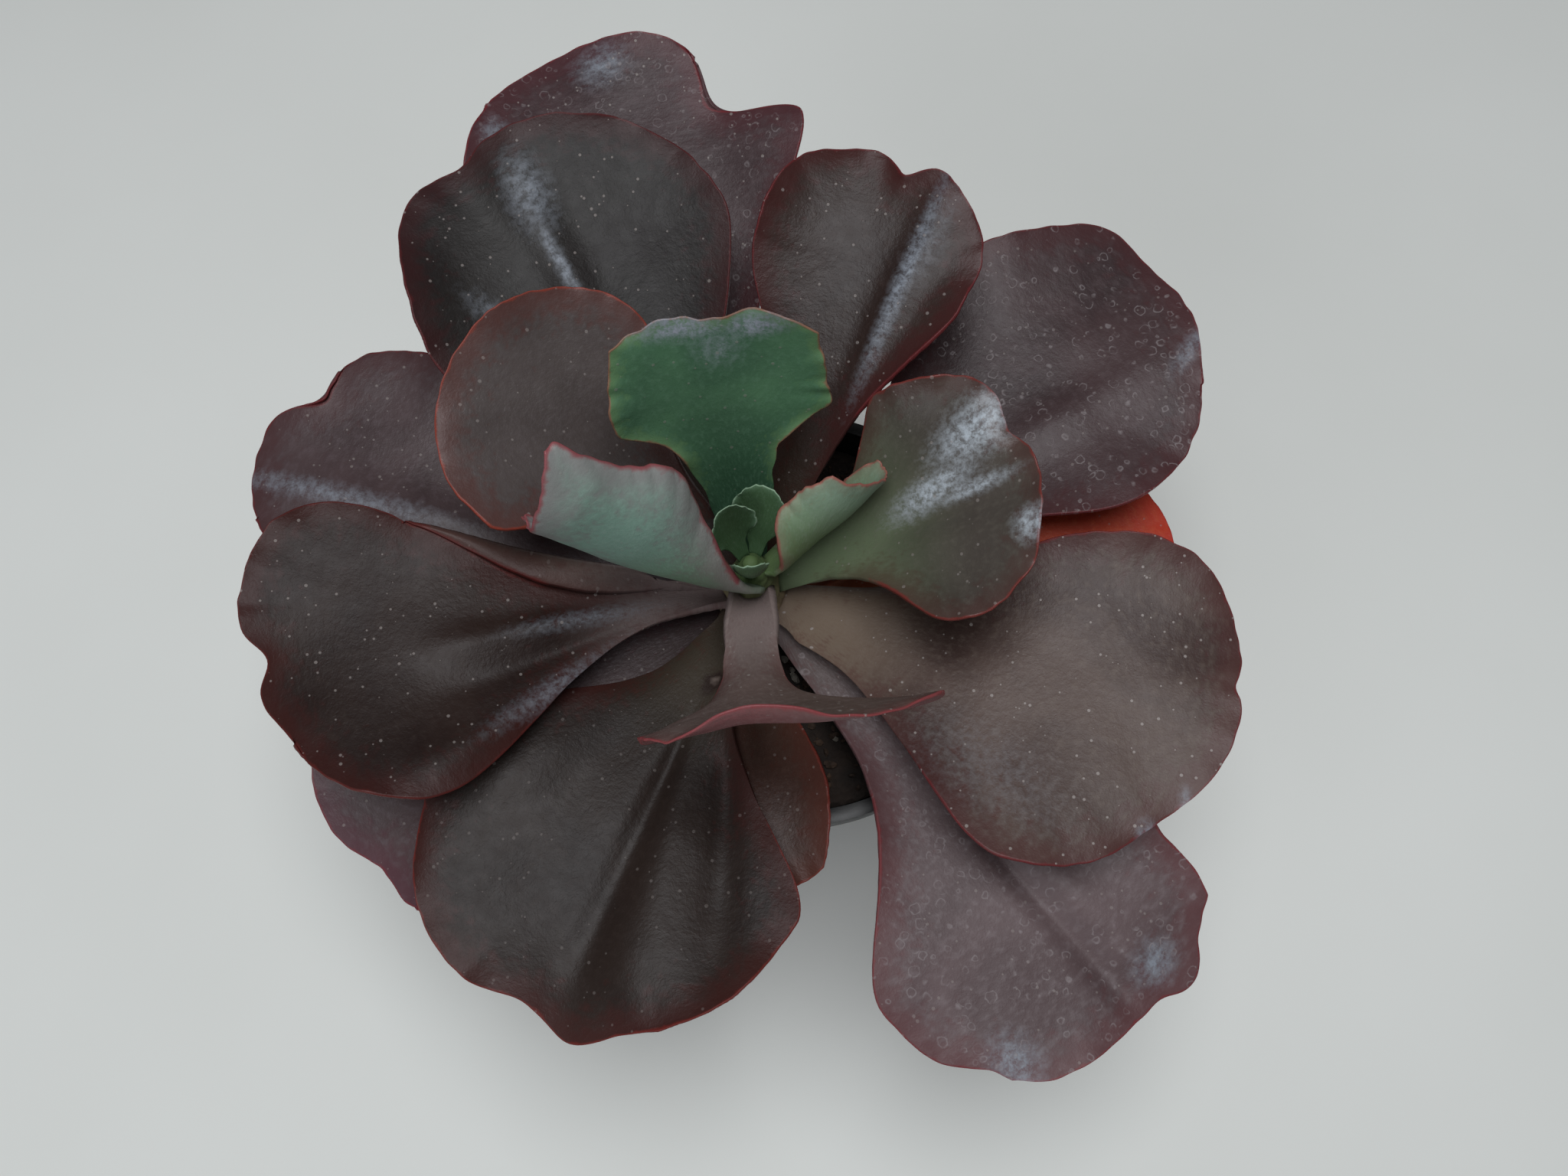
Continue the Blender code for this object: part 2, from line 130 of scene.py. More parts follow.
plaster, shader = new_material("matt_floor_paint", Roughness=0.8)
position = add(plaster, "ShaderNodeTexCoord").outputs["Object"]
clouds = add(plaster, "ShaderNodeTexNoise", {"Scale": 5.0, "Detail": 4.0}, {"Vector": position})
tint = add(
    plaster, "ShaderNodeMix", {"data_type": "RGBA", 6: linear("#d9dbd6"), 7: linear("#e3e5e1")},
    {0: clouds.outputs["Fac"]},
)
plaster.node_tree.links.new(tint.outputs[2], shader.inputs["Base Color"])
shape = bmesh.new()
bmesh.ops.create_grid(shape, x_segments=1, y_segments=1, size=FLOOR_REACH)
add_piece("floor", shape, plaster)


# Pot. A thin black nursery pot, injection moulded in polypropylene: a tapered wall, a flat rim with
# a lip that hangs outside it, a step to nest on, and slots round the foot to drain.
POT_HEIGHT = 128
RIM_RADIUS = 75
BASE_RADIUS = 53
WALL = 1.6
POT_FLOOR = 2.2
RIM_WIDTH = 4.6
LIP_HEIGHT = 14
LIP_DRAFT = 0.8
NEST_DROP = 6
NEST_SLOPE = 1
NEST_DEPTH = 0.5
POT_STEPS = 144
SLOT_COUNT = 8
SLOT_SIZE = (14, 9, 10)
EDGE_ROUND = 0.45


def mix(start, end, share):
    """Straight blend of two numbers."""
    return start + (end - start) * share


def wall_radius(height):
    """The pot's outer radius under its rim."""
    return mix(BASE_RADIUS, RIM_RADIUS - RIM_WIDTH + WALL, height / POT_HEIGHT)


def spin_up(outline, steps):
    """A closed turned form, in metres, from an outline of (radius, height) in millimetres."""
    shape = bmesh.new()
    corners = [shape.verts.new((radius * MM, 0, height * MM)) for radius, height in outline]
    for first, second in zip(corners, corners[1:]):
        shape.edges.new((first, second))
    bmesh.ops.spin(
        shape, geom=shape.verts[:] + shape.edges[:], cent=(0, 0, 0), axis=(0, 0, 1),
        angle=math.tau, steps=steps, use_merge=True,
    )
    bmesh.ops.remove_doubles(shape, verts=shape.verts, dist=0.01 * MM)
    bmesh.ops.recalc_face_normals(shape, faces=shape.faces)
    return shape


def black_polypropylene():
    """Moulded black polypropylene: satin, with faint flow marks 6 mm apart up the wall, a dusty bloom
    in 22 mm clouds and a grain of 0.4 mm."""
    material, shader = new_material("black_polypropylene", IOR=1.49)
    position = add(material, "ShaderNodeTexCoord").outputs["Object"]
    flow = add(material, "ShaderNodeMapping", {"Scale": (160, 160, 9)}, {"Vector": position})
    marks = add(material, "ShaderNodeTexNoise", {"Scale": 1.0, "Detail": 3.0}, {"Vector": flow.outputs[0]})
    dust = add(material, "ShaderNodeTexNoise", {"Scale": 45.0, "Detail": 5.0}, {"Vector": position})
    grain = add(material, "ShaderNodeTexNoise", {"Scale": 2500.0, "Detail": 1.0}, {"Vector": position})
    share = add(
        material, "ShaderNodeMapRange", {"From Min": 0.5, "From Max": 0.8, "To Max": 0.3},
        {"Value": dust.outputs["Fac"]},
    )
    tint = add(
        material, "ShaderNodeMix", {"data_type": "RGBA", 6: linear("#0d0d0d"), 7: linear("#262523")},
        {0: share.outputs[0]},
    )
    gloss = add(
        material, "ShaderNodeMapRange", {"To Min": 0.3, "To Max": 0.55}, {"Value": dust.outputs["Fac"]},
    )
    height = add(
        material, "ShaderNodeMath", {"operation": "MULTIPLY_ADD", 1: 0.3},
        {0: grain.outputs["Fac"], 2: marks.outputs["Fac"]},
    )
    bump = add(
        material, "ShaderNodeBump", {"Strength": 0.25, "Distance": 0.3 * MM}, {"Height": height.outputs[0]},
    )
    material.node_tree.links.new(tint.outputs[2], shader.inputs["Base Color"])
    material.node_tree.links.new(gloss.outputs[0], shader.inputs["Roughness"])
    material.node_tree.links.new(bump.outputs[0], shader.inputs["Normal"])
    return material


inner_rim = RIM_RADIUS - RIM_WIDTH
lip_bottom = POT_HEIGHT - LIP_HEIGHT
lip_foot = RIM_RADIUS - LIP_DRAFT
nest_top = lip_bottom - NEST_DROP
pot = add_piece(
    "pot_shell",
    spin_up((
        (0, POT_FLOOR),
        (wall_radius(POT_FLOOR) - WALL, POT_FLOOR),
        (inner_rim, POT_HEIGHT),
        (RIM_RADIUS, POT_HEIGHT),
        (lip_foot, lip_bottom),
        (lip_foot - WALL, lip_bottom),
        (RIM_RADIUS - WALL, POT_HEIGHT - WALL),
        (wall_radius(POT_HEIGHT - WALL), POT_HEIGHT - WALL),
        (wall_radius(nest_top), nest_top),
        (wall_radius(nest_top - NEST_SLOPE) - NEST_DEPTH, nest_top - NEST_SLOPE),
        (BASE_RADIUS, 0),
        (0, 0),
    ), POT_STEPS),
    black_polypropylene(),
)
shape = bmesh.new()
for index in range(SLOT_COUNT):
    bmesh.ops.create_cube(shape, size=1, matrix=(
        Matrix.Rotation(index * math.tau / SLOT_COUNT, 4, "Z")
        @ Matrix.Translation((BASE_RADIUS * MM, 0, 0))
        @ Matrix.Diagonal((*(side * MM for side in SLOT_SIZE), 1))
    ))
slots = add_piece("drain_slots", shape)
boolean = pot.modifiers.new("drain_slots", "BOOLEAN")
boolean.object = slots
boolean.solver = "EXACT"
depsgraph = bpy.context.evaluated_depsgraph_get()
cut_mesh = bpy.data.meshes.new_from_object(pot.evaluated_get(depsgraph))
pot.modifiers.clear()
pot.data = cut_mesh
bpy.data.objects.remove(slots)
rounding = pot.modifiers.new("rounded_edges", "BEVEL")
rounding.width = EDGE_ROUND * MM
rounding.segments = 2
rounding.angle_limit = math.radians(35)
pot.data.shade_smooth()
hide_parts("pot")
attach(pot, "root")


# Soil. Damp potting mix of peat, bark chips and white perlite, poured in and watered down to 12 mm
# below the rim. Its top is uneven, with loose crumbs lying on it.
SOIL_TOP = 116
SOIL_STEPS = 120
SOIL_RINGS = 34
SOIL_GAP = 0.3
SOIL_LUMPS = ((2.2, 16), (1.3, 5.5), (0.8, 2.3))
SETTLED_WIDTH = 6
SETTLED_DROP = 1.4
CRUMB_COUNT = 1100
CRUMB_SIZES = (0.8, 2.9)
CRUMB_SKEW = 2.2
CRUMB_LIFT = 0.25
CRUMB_CLEARANCE = 3
PERLITE_SHARE = 0.1


def potting_mix(name, dark, light, roughness):
    """Damp crumbly peat or bark: brown in 9 mm blotches, with a rough grain of about 2 mm."""
    material, shader = new_material(name, Roughness=roughness)
    position = add(material, "ShaderNodeTexCoord").outputs["Object"]
    crumbs = add(material, "ShaderNodeTexVoronoi", {"Scale": 450.0}, {"Vector": position})
    blotches = add(material, "ShaderNodeTexNoise", {"Scale": 110.0, "Detail": 6.0}, {"Vector": position})
    share = add(
        material, "ShaderNodeMapRange", {"From Min": 0.3, "From Max": 0.7},
        {"Value": blotches.outputs["Fac"]},
    )
    tint = add(
        material, "ShaderNodeMix", {"data_type": "RGBA", 6: linear(dark), 7: linear(light)},
        {0: share.outputs[0]},
    )
    bump = add(
        material, "ShaderNodeBump", {"Strength": 0.7, "Distance": 1.2 * MM},
        {"Height": crumbs.outputs["Distance"]},
    )
    material.node_tree.links.new(tint.outputs[2], shader.inputs["Base Color"])
    material.node_tree.links.new(bump.outputs[0], shader.inputs["Normal"])
    return material


def smoothstep(share):
    """Ease from 0 to 1."""
    share = max(0.0, min(1.0, share))
    return share * share * (3 - 2 * share)


def soil_lumps(spot, lumps):
    """How far the soil stands up at a spot, from lumps of a height and a spacing."""
    return sum(height * noise.noise(spot / spacing) for height, spacing in lumps)


soil_floor = POT_FLOOR + SOIL_GAP
soil_radius = wall_radius(SOIL_TOP) - WALL - SOIL_GAP
rings = [(soil_radius * ring / SOIL_RINGS, SOIL_TOP) for ring in range(SOIL_RINGS + 1)]
rings += [(wall_radius(soil_floor) - WALL - SOIL_GAP, soil_floor), (0, soil_floor)]
shape = spin_up(rings, SOIL_STEPS)
for vertex in shape.verts:
    if vertex.co.z > (SOIL_TOP - 1) * MM:
        spot = vertex.co / MM
        settled = smoothstep((soil_radius - Vector((spot.x, spot.y)).length) / SETTLED_WIDTH)
        vertex.co.z += (soil_lumps(spot, SOIL_LUMPS) - SETTLED_DROP * (1 - settled)) * MM
for face in shape.faces:
    face.smooth = True
dice = random.Random(7)
for index in range(CRUMB_COUNT):
    bearing = math.tau * dice.random()
    reach = (soil_radius - CRUMB_CLEARANCE) * math.sqrt(dice.random())
    size = mix(*CRUMB_SIZES, dice.random() ** CRUMB_SKEW)
    spot = Vector((reach * math.cos(bearing), reach * math.sin(bearing), SOIL_TOP))
    lumps = soil_lumps(spot, SOIL_LUMPS[:2])
    axis = Vector((dice.uniform(-1, 1), dice.uniform(-1, 1), 0.4)).normalized()
    chip = bmesh.ops.create_icosphere(shape, subdivisions=1, radius=size * MM, matrix=(
        Matrix.Translation((spot + Vector((0, 0, lumps + CRUMB_LIFT * size))) * MM)
        @ Matrix.Rotation(math.tau * dice.random(), 4, axis)
        @ Matrix.Diagonal((1, dice.uniform(0.5, 0.9), dice.uniform(0.3, 0.7), 1))
    ))
    kind = 2 if dice.random() > 1 - PERLITE_SHARE else 1
    for face in {face for vertex in chip["verts"] for face in vertex.link_faces}:
        face.material_index = kind
soil = add_piece(
    "potting_mix", shape,
    potting_mix("damp_peat", "#120d0a", "#2a1f18", 0.9),
    potting_mix("bark_chips", "#1e140e", "#463426", 0.85),
    potting_mix("perlite", "#6d685f", "#a5a096", 0.95),
)
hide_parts("soil")
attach(soil, "root")


# Stem. One short woody column that carries every leaf: pale brown corky bark above the soil, with
# the crescent scars of dropped leaves, and a green growing tip hidden between the heart leaves.
STEM_FOOT = Vector((-12.6, 3.7, SOIL_TOP))
STEM_LEAN = math.radians(3)
STEM_LEAN_TOWARD = math.radians(250)
STEM_RADIUS = 12.5
STEM_SHOULDER = 18
STEM_NECK_RADIUS = 5
STEM_NECK = 46
STEM_TIP_RADIUS = 2
STEM_HEIGHT = 52
STEM_CROWN = 0.6
STEM_BURIED = 26
STEM_FOOT_RADIUS = 9
STEM_STEPS = 96
STEM_ROW = 0.8
BARK_WEAR = 0.5
BARK_WEAR_SPACING = 2.5
SCAR_COUNT = 14
SCAR_START = 1.5
SCAR_SPACING = 3.1
SCAR_HALF_WIDTH = 6.5
SCAR_HALF_HEIGHT = 1.7
SCAR_RIDGE = 0.55
SCAR_RIDGE_SPREAD = 0.3
SCAR_HOLLOW = 0.5
SCAR_HOLLOW_SPREAD = 0.7
YOUNG_BARK = 25
GREEN_BARK = 48
GOLDEN_ANGLE = math.radians(137.5)

lean_axis = Vector((-math.sin(STEM_LEAN_TOWARD), math.cos(STEM_LEAN_TOWARD), 0))
rosette_place = Matrix.Translation(STEM_FOOT * MM) @ Matrix.Rotation(STEM_LEAN, 4, lean_axis)


def bell(distance, spread):
    """A smooth bump, 1 at its middle."""
    return math.exp(-((distance / spread) ** 2))


def stem_radius(height):
    """The stem's radius at a height above the soil: it narrows towards the youngest leaves."""
    if height > STEM_NECK:
        share = min(1.0, (height - STEM_NECK) / (STEM_HEIGHT - STEM_NECK))
        return mix(STEM_NECK_RADIUS, STEM_TIP_RADIUS, share)
    share = (height - STEM_SHOULDER) / (STEM_NECK - STEM_SHOULDER)
    return mix(STEM_RADIUS, STEM_NECK_RADIUS, max(0.0, share))


def stem_bark():
    """Corky stem skin: pale brown, roughened along the stem in flecks 2.4 mm wide and 8 mm long, and
    greener where it is young."""
    material, shader = new_material("corky_bark", Roughness=0.75)
    position = add(material, "ShaderNodeTexCoord").outputs["Object"]
    stretch = add(material, "ShaderNodeMapping", {"Scale": (420, 420, 130)}, {"Vector": position})
    cork = add(
        material, "ShaderNodeTexNoise", {"Scale": 1.0, "Detail": 5.0}, {"Vector": stretch.outputs[0]},
    )
    height = add(material, "ShaderNodeSeparateXYZ", links={"Vector": position})
    young = add(
        material, "ShaderNodeMapRange",
        {"From Min": (SOIL_TOP + YOUNG_BARK) * MM, "From Max": (SOIL_TOP + GREEN_BARK) * MM},
        {"Value": height.outputs["Z"]},
    )
    bark = add(
        material, "ShaderNodeMix", {"data_type": "RGBA", 6: linear("#3b2f24"), 7: linear("#8a7659")},
        {0: cork.outputs["Fac"]},
    )
    tint = add(
        material, "ShaderNodeMix", {"data_type": "RGBA", 7: linear("#4c6238")},
        {0: young.outputs[0], 6: bark.outputs[2]},
    )
    bump = add(
        material, "ShaderNodeBump", {"Strength": 0.6, "Distance": 0.5 * MM},
        {"Height": cork.outputs["Fac"]},
    )
    material.node_tree.links.new(tint.outputs[2], shader.inputs["Base Color"])
    material.node_tree.links.new(bump.outputs[0], shader.inputs["Normal"])
    return material


rows = round(STEM_HEIGHT / STEM_ROW)
outline = [(0, -STEM_BURIED), (STEM_FOOT_RADIUS, -STEM_BURIED)]
outline += [(stem_radius(row * STEM_ROW), row * STEM_ROW) for row in range(rows + 1)]
shape = spin_up(outline + [(0, STEM_HEIGHT + STEM_CROWN)], STEM_STEPS)
for vertex in shape.verts:
    spot = vertex.co / MM
    around = Vector((spot.x, spot.y))
    if around.length < 1 or spot.z < 0:
        continue
    wear = BARK_WEAR * noise.noise(spot / BARK_WEAR_SPACING)
    for scar in range(SCAR_COUNT):
        rise = SCAR_START + scar * SCAR_SPACING
        turn = math.remainder(math.atan2(spot.y, spot.x) - scar * GOLDEN_ANGLE, math.tau)
        lens = math.hypot(turn * around.length / SCAR_HALF_WIDTH, (spot.z - rise) / SCAR_HALF_HEIGHT)
        ridge = SCAR_RIDGE * bell(lens - 1, SCAR_RIDGE_SPREAD)
        wear += ridge - SCAR_HOLLOW * bell(lens, SCAR_HOLLOW_SPREAD)
    vertex.co += Vector((*around.normalized(), 0)) * wear * MM
shape.transform(rosette_place)
for face in shape.faces:
    face.smooth = True
stem = add_piece("stem_column", shape, stem_bark())
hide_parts("stem")
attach(stem, "root")


# Leaves. Each is one thick waxy blade on a fleshy stalk that clasps the stem, in a spiral from the
# oldest at the bottom. The oldest are soft, dull and purple-grey, and one has turned orange.
STEM_GAP = 0.9
STEM_TUCK = 2.4
TUCK_REACH = 6
CLASP = 1.25
STALK_THICKNESS = 0.5
STALK_EDGE_THICKNESS = 0.4
TIP_THICKNESS = 0.6
EDGE_THICKNESS = 0.2
EDGE_ROUNDING = 10
SHOULDER_ROW = 0.5
SHOULDER_CLOCK = 90
STALK_CLOCK = 150
ROOT_WIDTH = 0.85
ROOT_LENGTH = 0.2
SWEEP_START = 0.3
LOBE_FADE = 3
RAGGED_HUG = 12
CRIMP_HUG = 7
CRIMP_SHIFT = 500
FOLD_FADE_IN = 0.25
FOLD_FADE_OUT = 0.15
SWELL_SPACING = 24
PUCKER_SPACING = 9
PUCKER_SHARE = 0.12
SWELL_SHIFT = 9
MARGIN_SHIFT = 7
MIDRIB_STEPS = 48
CELL = 1.35
CROWDING = 1.25
OUTLINE_STEPS = 400
BARE_DEPTH = 8
BARE_SHARPNESS = 1.3
FAN_CENTRE = 4
UNDERSIDE_DOTS = 0.2


@dataclass
class Leaf:
    """One leaf's form in the rosette's frame, in millimetres and degrees.

    Left and right are as seen from the stem, and pairs are in that order. A clock angle goes round
    the blade from its tip at 0 through its right side at 90 to the stalk at 150, and is negative on
    the left. Rise and roll are at the stalk, the middle and the tip, and turn bends the midrib
    sideways. Cup curls each half up. A sweep pulls a side's edge outward. A lobe is a swelling or,
    if it is negative, a notch: its clock angle, its depth and its spread. A wave ripples the blade:
    its depth, its count round a full clock, its phase and how closely it hugs the edge.

    A fold is a rib or, if negative, a channel that fans from the stalk: its angle to the midrib, its
    spread, its depth, and the shares of the leaf's reach where it starts and ends. Swell is how
    uneven the face is. Crimp and ragged are the margin's small waves, up and down and in and out:
    their depth and the clock angle between them. A wax patch is pale wax with a painted highlight
    on it: its middle to the right and outward, its half width and half length, its lean from the
    midrib and its strength. A scar is a corky spot: its middle and its radius.
    """

    name: str
    azimuth: float
    height: float
    length: float
    width: tuple
    rise: tuple
    stalk: float = 11
    thickness: float = 4
    shoulder: float = 0.55
    flare: float = 1.5
    wedge: float = 0.15
    turn: float = 0
    roll: tuple = (0, 0, 0)
    cup: tuple = (20, 20)
    sweep: tuple = (0, 0)
    square: float = 0
    lobes: tuple = ()
    waves: tuple = ()
    folds: tuple = ()
    swell: float = 0.8
    crimp: tuple = (0.8, 9)
    ragged: tuple = (0.5, 6)
    # Patches of pale wax that are also painted highlights and sheen
    wax_and_painted_highlights: tuple = ()
    scars: tuple = ()


@dataclass
class Skin:
    """One leaf's colours from the blade to the margin, how far each runs in mm, and its marks.

    Gloss is the shader's specular level: less where old wax has gone dull. Bare is the share of the
    leaf's length, from its stalk, over which the coloured margin fades in.
    """

    blade: str
    dark: str
    stalk: str
    edge: str
    blush: str
    back: str
    light: str = "#6a6464"
    # Tone of the pale wax patches, which also paints the leaf's highlights and sheen
    painted_highlight_wax: str = "#80868f"
    stalk_reach: float = 60
    edge_width: float = 0.8
    blush_width: float = 13
    blush_share: float = 0.55
    bare: float = 0.43
    dots: float = 0.3
    rings: float = 0.0
    roughness: float = 0.4
    gloss: float = 0.35


def profile_value(stations, share):
    """A quadratic through three values, at the stalk, the middle and the tip."""
    first, middle, last = stations
    bend = first - 2 * middle + last
    return first + (4 * middle - 3 * first - last) * share + 2 * bend * share * share


def blade_frame(leaf, share):
    """Unit vectors at a share of the midrib: to the right, outward, and out of the upper face."""
    heading = math.radians(leaf.azimuth + leaf.turn * share)
    climb = math.radians(profile_value(leaf.rise, share))
    roll = math.radians(profile_value(leaf.roll, share))
    outward = Vector((
        math.cos(climb) * math.cos(heading),
        math.cos(climb) * math.sin(heading),
        math.sin(climb),
    ))
    level = Vector((math.sin(heading), -math.cos(heading), 0))
    upright = level.cross(outward)
    right = level * math.cos(roll) + upright * math.sin(roll)
    return right, outward, right.cross(outward)


def midrib(leaf):
    """The midrib's places at equal steps from the stem to the tip."""
    heading = math.radians(leaf.azimuth)
    lowest = leaf.height - leaf.stalk / 2 * abs(math.sin(math.radians(leaf.roll[0])))
    start = stem_radius(lowest) + STEM_GAP
    place = Vector((start * math.cos(heading), start * math.sin(heading), leaf.height))
    places = [place]
    step = leaf.length / MIDRIB_STEPS
    for index in range(MIDRIB_STEPS):
        place = place + blade_frame(leaf, (index + 0.5) / MIDRIB_STEPS)[1] * step
        places.append(place)
    return places


def margin_noise(leaf, clock, spacing):
    """Uneven small waves along a leaf's margin, about -0.5 to 0.5."""
    return noise.noise(Vector((clock / spacing, leaf.height, leaf.azimuth / MARGIN_SHIFT)))


def blade_plan(leaf, across, along):
    """A point of the flat blade: right, outward, its clock angle and how near the edge it is."""
    widest = leaf.shoulder * leaf.length
    side = 0 if across < 0 else 1
    half_width = leaf.width[side]
    if along < SHOULDER_ROW:
        share = along / SHOULDER_ROW
        flare = smoothstep(share ** leaf.flare)
        spread = mix(flare, math.sin(share * math.pi / 2), leaf.wedge)
        root = mix(ROOT_WIDTH, 1, smoothstep(share / ROOT_LENGTH))
        right = across * mix(leaf.stalk / 2 * root, half_width, spread)
        outward = share * widest
        clock = math.copysign(mix(STALK_CLOCK, SHOULDER_CLOCK, share), across)
        edge = abs(across)
        free = smoothstep(share * 2)
    else:
        share = (along - SHOULDER_ROW) / (1 - SHOULDER_ROW)
        roundness = 1 - leaf.square
        right = across * half_width * (1 - roundness * (1 - math.sqrt(1 - share * share / 2)))
        beyond = share * (1 - roundness * (1 - math.sqrt(1 - across * across / 2)))
        outward = widest + beyond * (leaf.length - widest)
        clock = math.degrees(math.atan2(right / half_width, beyond))
        edge = max(abs(across), share)
        free = 1
    swelling = sum(depth * bell(clock - at, spread) for at, depth, spread in leaf.lobes)
    depth, spacing = leaf.ragged
    growth = swelling * edge ** LOBE_FADE
    growth += free * depth * margin_noise(leaf, clock, spacing) * edge ** RAGGED_HUG
    if along > SHOULDER_ROW:
        right *= 1 + growth / half_width
        outward = widest + (outward - widest) * (1 + growth / (leaf.length - widest))
    else:
        right += across * growth
    outward += leaf.sweep[side] * abs(right) * smoothstep(outward / leaf.length / SWEEP_START)
    return right, outward, clock, edge


def blade_relief(leaf, right, outward, clock, edge):
    """How far the face stands out from the cupped sheet: ripples, folds, crimps and swellings."""
    relief = sum(
        depth * edge ** hug * math.sin(math.radians(count * clock + phase))
        for depth, count, phase, hug in leaf.waves
    )
    angle = math.degrees(math.atan2(right, max(outward, 1)))
    reach = math.hypot(right, outward) / leaf.length
    for at, spread, depth, start, end in leaf.folds:
        relief += (
            depth * bell(angle - at, spread)
            * smoothstep((reach - start) / FOLD_FADE_IN) * smoothstep((end - reach) / FOLD_FADE_OUT)
        )
    free = smoothstep(reach * 2)
    depth, spacing = leaf.crimp
    relief += free * depth * edge ** CRIMP_HUG * margin_noise(leaf, clock + CRIMP_SHIFT, spacing)
    spot = Vector((right, outward, SWELL_SHIFT * leaf.height))
    swell = noise.noise(spot / SWELL_SPACING) + PUCKER_SHARE * noise.noise(spot / PUCKER_SPACING)
    return relief + free * leaf.swell * swell


def blade_point(leaf, places, plan):
    """A point of the upper face in the rosette's frame."""
    right, outward, clock, edge = plan
    hug = CLASP * stem_radius(leaf.height)
    clasp = hug - math.sqrt(hug * hug - min(abs(right), hug) ** 2)
    clasp *= math.cos(math.radians(leaf.roll[0]))
    reach = outward - clasp * smoothstep(1 - outward / (2 * hug))
    share = reach / leaf.length
    position = max(0.0, min(MIDRIB_STEPS - 1e-6, share * MIDRIB_STEPS))
    index = int(position)
    spine = places[index].lerp(places[index + 1], position - index)
    to_right, to_out, to_face = blade_frame(leaf, max(0.0, min(1.0, share)))
    spine = spine + to_out * (share * MIDRIB_STEPS - position) * leaf.length / MIDRIB_STEPS
    spine = spine - to_out * STEM_TUCK * smoothstep(1 - outward / TUCK_REACH)

    curl = math.radians(leaf.cup[0 if right < 0 else 1]) / leaf.width[0 if right < 0 else 1]
    angle = curl * right
    sideways = math.sin(angle) / curl
    lift = (1 - math.cos(angle)) / curl
    face = to_face * math.cos(angle) - to_right * math.sin(angle)
    return spine + to_right * sideways + to_face * lift + face * blade_relief(leaf, *plan)


def blade_thickness(leaf, along, inside):
    """A fleshy stalk, a thinner blade, and a thin round edge, by how far inside the margin."""
    blade = smoothstep(along / SHOULDER_ROW)
    middle = mix(STALK_THICKNESS * leaf.stalk, leaf.thickness, blade)
    middle = mix(
        middle, TIP_THICKNESS * leaf.thickness,
        smoothstep((along - SHOULDER_ROW) / (1 - SHOULDER_ROW)),
    )
    rim = mix(STALK_EDGE_THICKNESS, EDGE_THICKNESS, blade)
    return middle * mix(rim, 1, math.sqrt(min(1, inside / EDGE_ROUNDING)))


